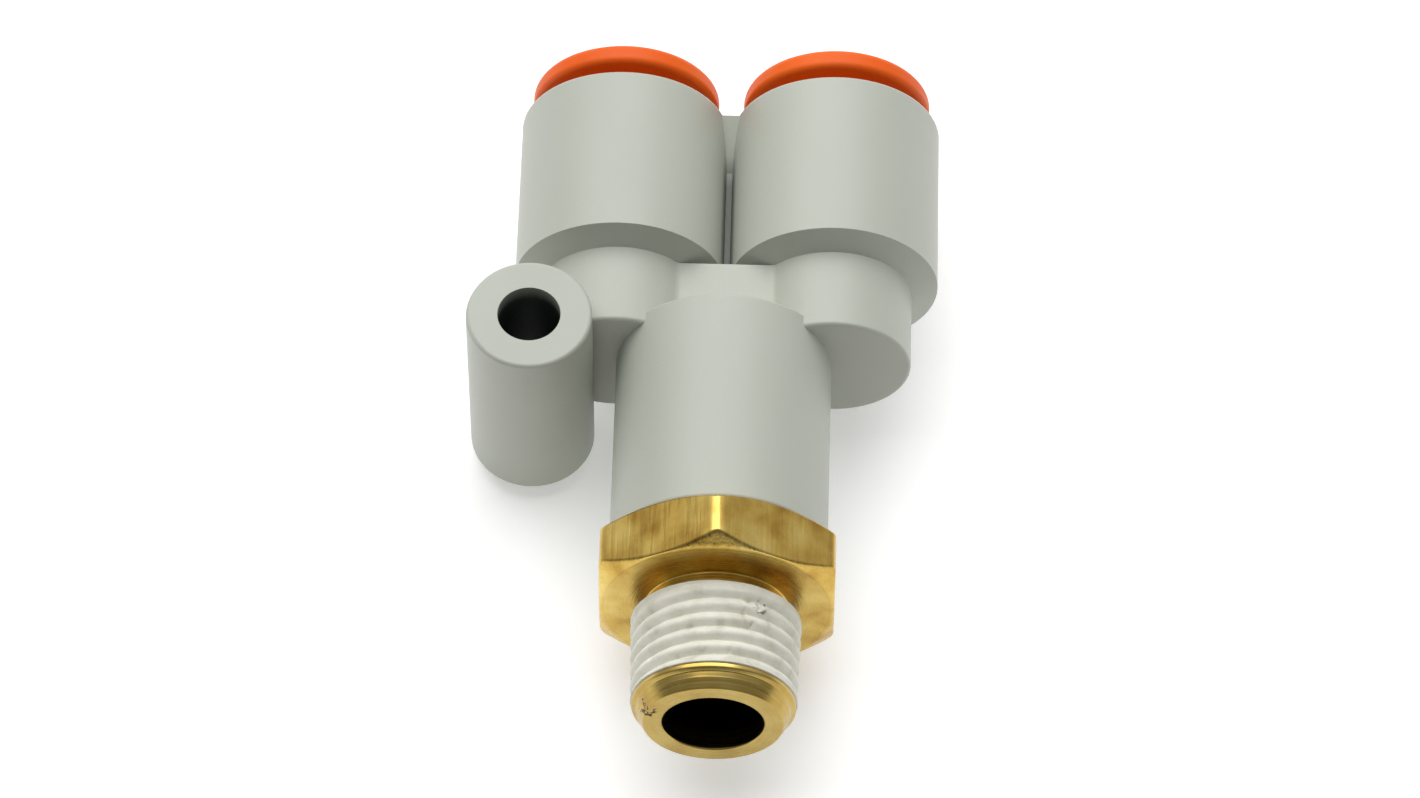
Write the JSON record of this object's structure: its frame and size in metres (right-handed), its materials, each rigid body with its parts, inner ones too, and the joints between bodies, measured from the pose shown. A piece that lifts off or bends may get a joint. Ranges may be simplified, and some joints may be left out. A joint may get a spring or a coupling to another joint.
{
  "type": "branch y push-in tube fitting",
  "caption": "Swivel branch Y pneumatic fitting: pale moulded body with two push-in tube ports, orange release buttons, a mounting boss and a brass hexagon stud with a sealed taper thread.",
  "frame": {"origin": "on the stud's axis, in the plane of the hexagon's seat face", "axes": "+Y from the thread to the tube ports, +Z along the mounting hole, +X to the right-hand port"},
  "size_m": [0.0285, 0.0451, 0.0162],
  "materials": {
    "body_plastic": "satin moulded, light warm grey",
    "button_plastic": "orange moulded",
    "brass": "turned and milled, unplated",
    "sealant": "off-white dried film",
    "guide_metal": "turned, bright plated",
    "collet_plastic": "natural white moulded",
    "chuck_steel": "spring sheet, bright",
    "seal_rubber": "black, matt"
  },
  "bodies": {
    "branch": {"branch_body": "body_plastic", "left_guide_ring": "guide_metal", "right_guide_ring": "guide_metal", "left_seal_spacer": "collet_plastic", "right_seal_spacer": "collet_plastic", "left_tube_seal": "seal_rubber", "right_tube_seal": "seal_rubber"},
    "stud": {"threaded_stud": "brass", "thread_sealant": "sealant", "stud_o_ring": "seal_rubber"},
    "left_button": {"left_release_button": "button_plastic"},
    "right_button": {"right_release_button": "button_plastic"},
    "left_grip": {"left_collet": "collet_plastic", "left_chuck": "chuck_steel"},
    "right_grip": {"right_collet": "collet_plastic", "right_chuck": "chuck_steel"}
  },
  "joints": [
    {"name": "stud_swivel", "type": "hinge", "parent": "branch", "child": "stud", "pos_m": [0, 0, 0], "axis": [0, 1, 0], "continuous": true},
    {"name": "left_button_press", "type": "slide", "parent": "branch", "child": "left_button", "axis": [0, -1, 0], "range_m": [0, 0.0011], "stiffness_N_per_m": 3000},
    {"name": "left_grip_float", "type": "slide", "parent": "branch", "child": "left_grip", "axis": [0, -1, 0], "range_m": [0, 0.0003]},
    {"name": "right_button_press", "type": "slide", "parent": "branch", "child": "right_button", "axis": [0, -1, 0], "range_m": [0, 0.0011], "stiffness_N_per_m": 3000},
    {"name": "right_grip_float", "type": "slide", "parent": "branch", "child": "right_grip", "axis": [0, -1, 0], "range_m": [0, 0.0003]}
  ],
  "couplings": [
    {"joint": "left_grip_float", "follows": "left_button_press", "ratio": 0.27},
    {"joint": "right_grip_float", "follows": "right_button_press", "ratio": 0.27}
  ]
}
